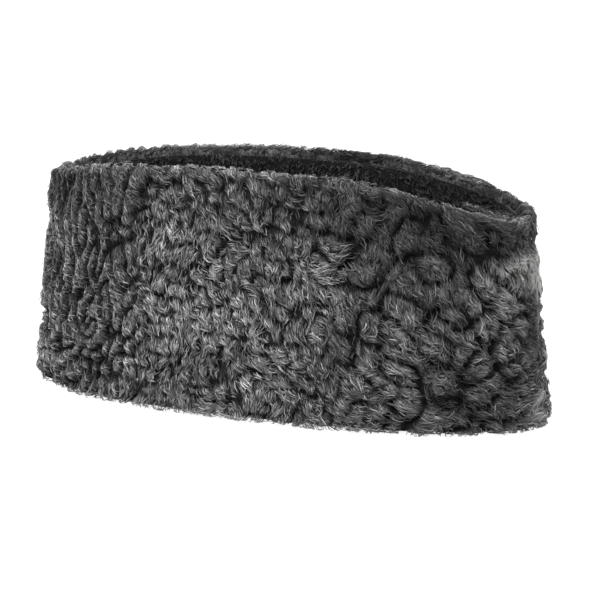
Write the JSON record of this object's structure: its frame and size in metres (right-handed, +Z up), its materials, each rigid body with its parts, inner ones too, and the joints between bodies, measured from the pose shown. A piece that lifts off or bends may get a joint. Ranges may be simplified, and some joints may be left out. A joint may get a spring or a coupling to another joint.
{
  "type": "karakul cap",
  "caption": "Fold-flat cap of curled lamb pelt, standing half open on its hem, with two leaning side panels and a folded crown that makes a long valley between two ridges.",
  "frame": {"origin": "middle of the cap's box at the hem, on the surface that it stands on", "axes": "+X towards the front, +Y towards the wearer's left, +Z up"},
  "size_m": [0.2642, 0.0975, 0.117],
  "materials": {
    "side_pelt": "charcoal curled lamb pelt with a soft sheen",
    "crown_pelt": "charcoal curled lamb pelt, a little darker"
  },
  "bodies": {
    "root": {"right_side_panel": "side_pelt", "left_side_panel": "side_pelt", "crown_panel": "crown_pelt"}
  },
  "joints": []
}
